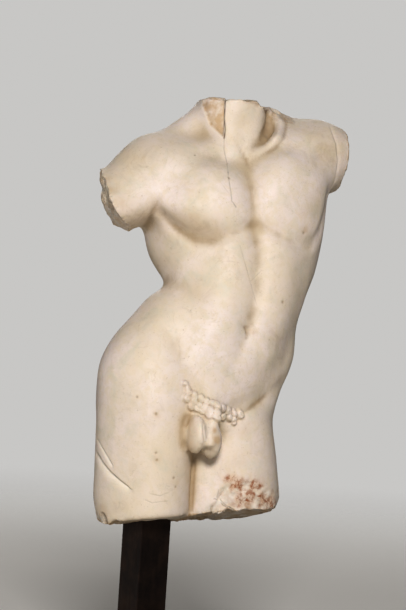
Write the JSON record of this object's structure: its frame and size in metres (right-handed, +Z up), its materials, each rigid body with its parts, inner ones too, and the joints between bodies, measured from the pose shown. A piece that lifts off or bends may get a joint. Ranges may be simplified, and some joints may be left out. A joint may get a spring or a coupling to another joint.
{
  "type": "marble torso sculpture",
  "caption": "Broken marble torso of a standing nude youth, carved in the round, on a square metal post let into a low dark stone base",
  "frame": {"origin": "centre of the underside of the base block, on the surface that it stands on", "axes": "+Z up, -Y towards the front of the base and the figure's front, +X towards the figure's left side; the figure is turned 10 degrees towards its right"},
  "size_m": [0.3803, 0.28, 0.8452],
  "materials": {
    "marble": "worn, softly polished",
    "dark_bronze": "satin",
    "dark_stone": "honed"
  },
  "bodies": {
    "root": {"torso": "marble", "support_post": "dark_bronze", "base_block": "dark_stone"}
  },
  "joints": []
}
